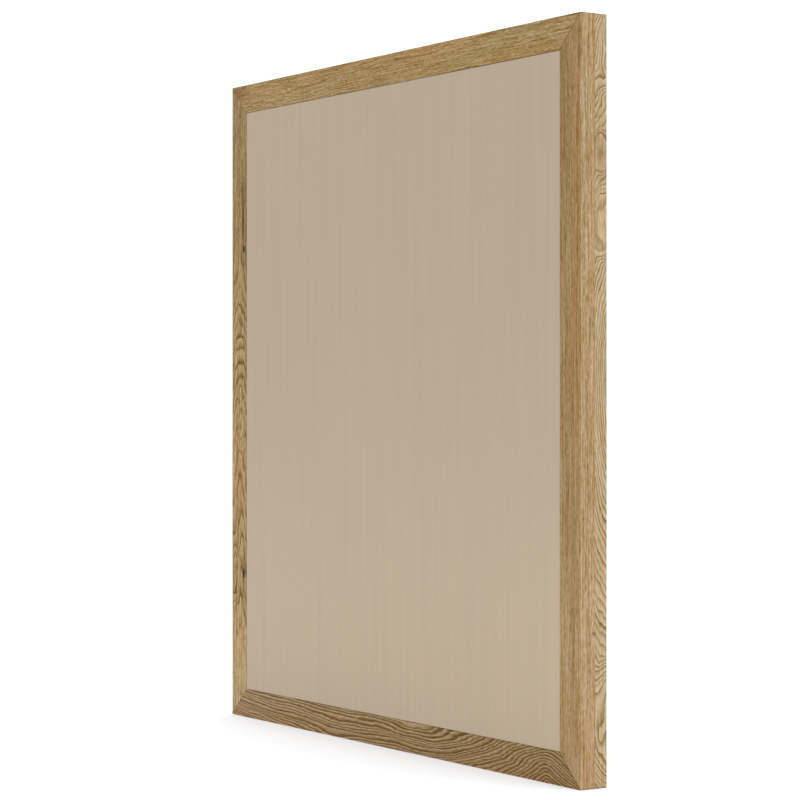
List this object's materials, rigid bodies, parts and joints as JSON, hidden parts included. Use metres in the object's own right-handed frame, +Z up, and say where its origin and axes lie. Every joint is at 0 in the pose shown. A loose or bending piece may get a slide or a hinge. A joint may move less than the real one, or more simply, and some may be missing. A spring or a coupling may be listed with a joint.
{
  "type": "cork bulletin board",
  "caption": "Tall bulletin board: a flush, uni-coloured cork pin surface in a deep mitred oak frame, hung from keyhole plates let into the back.",
  "frame": {"origin": "middle of the board's underside, halfway between the oak's front face and the wall side of the felt bumpers", "axes": "+Z up the board, +X to the right for someone facing the pin surface, -Y out of the pin surface and +Y towards the wall"},
  "size_m": [0.9, 0.045, 1],
  "materials": {
    "oak": "oiled solid oak, planed and sanded",
    "beech": "bare steamed beech",
    "cork_linoleum": "calendered cork linoleum, uni-coloured, matt",
    "jute": "woven jute",
    "softboard": "porous wood fibre board",
    "birch_plywood": "sanded birch plywood",
    "spruce": "planed spruce",
    "zinc_steel": "bright zinc-plated steel",
    "nickel_steel": "nickel-plated pressed steel",
    "felt": "pressed wool felt"
  },
  "bodies": {
    "board": {"bottom_rail": "oak", "top_rail": "oak", "left_stile": "oak", "right_stile": "oak", "bottom_back_strip": "oak", "top_back_strip": "oak", "left_back_strip": "oak", "right_back_strip": "oak", "mitre_tenons_bottom_left": "beech", "mitre_tenons_bottom_right": "beech", "mitre_tenons_top_right": "beech", "mitre_tenons_top_left": "beech", "cork_sheet": "cork_linoleum", "jute_backing": "jute", "softboard_core": "softboard", "plywood_carrier": "birch_plywood", "upper_batten": "spruce", "lower_batten": "spruce", "batten_screws": "zinc_steel", "turn_button_screws": "zinc_steel", "corner_plate_screws": "zinc_steel", "wall_bumpers": "felt", "corner_plate_bottom_left": "zinc_steel", "corner_plate_bottom_right": "zinc_steel", "corner_plate_top_right": "zinc_steel", "corner_plate_top_left": "zinc_steel"},
    "turn_button_left_1": {"turn_button_left_1": "nickel_steel"},
    "turn_button_left_2": {"turn_button_left_2": "nickel_steel"},
    "turn_button_left_3": {"turn_button_left_3": "nickel_steel"},
    "turn_button_right_1": {"turn_button_right_1": "nickel_steel"},
    "turn_button_right_2": {"turn_button_right_2": "nickel_steel"},
    "turn_button_right_3": {"turn_button_right_3": "nickel_steel"},
    "turn_button_top_1": {"turn_button_top_1": "nickel_steel"},
    "turn_button_top_2": {"turn_button_top_2": "nickel_steel"},
    "turn_button_bottom_1": {"turn_button_bottom_1": "nickel_steel"},
    "turn_button_bottom_2": {"turn_button_bottom_2": "nickel_steel"}
  },
  "joints": [
    {"name": "turn_left_1", "type": "hinge", "parent": "board", "child": "turn_button_left_1", "pos_m": [-0.425, 0.0015, 0.8], "axis": [0, 1, 0], "range_deg": [-90, 90]},
    {"name": "turn_left_2", "type": "hinge", "parent": "board", "child": "turn_button_left_2", "pos_m": [-0.425, 0.0015, 0.5], "axis": [0, 1, 0], "range_deg": [-90, 90]},
    {"name": "turn_left_3", "type": "hinge", "parent": "board", "child": "turn_button_left_3", "pos_m": [-0.425, 0.0015, 0.2], "axis": [0, 1, 0], "range_deg": [-90, 90]},
    {"name": "turn_right_1", "type": "hinge", "parent": "board", "child": "turn_button_right_1", "pos_m": [0.425, 0.0015, 0.2], "axis": [0, 1, 0], "range_deg": [-90, 90]},
    {"name": "turn_right_2", "type": "hinge", "parent": "board", "child": "turn_button_right_2", "pos_m": [0.425, 0.0015, 0.5], "axis": [0, 1, 0], "range_deg": [-90, 90]},
    {"name": "turn_right_3", "type": "hinge", "parent": "board", "child": "turn_button_right_3", "pos_m": [0.425, 0.0015, 0.8], "axis": [0, 1, 0], "range_deg": [-90, 90]},
    {"name": "turn_top_1", "type": "hinge", "parent": "board", "child": "turn_button_top_1", "pos_m": [0.18, 0.0015, 0.975], "axis": [0, 1, 0], "range_deg": [-90, 90]},
    {"name": "turn_top_2", "type": "hinge", "parent": "board", "child": "turn_button_top_2", "pos_m": [-0.18, 0.0015, 0.975], "axis": [0, 1, 0], "range_deg": [-90, 90]},
    {"name": "turn_bottom_1", "type": "hinge", "parent": "board", "child": "turn_button_bottom_1", "pos_m": [-0.18, 0.0015, 0.025], "axis": [0, 1, 0], "range_deg": [-90, 90]},
    {"name": "turn_bottom_2", "type": "hinge", "parent": "board", "child": "turn_button_bottom_2", "pos_m": [0.18, 0.0015, 0.025], "axis": [0, 1, 0], "range_deg": [-90, 90]}
  ]
}
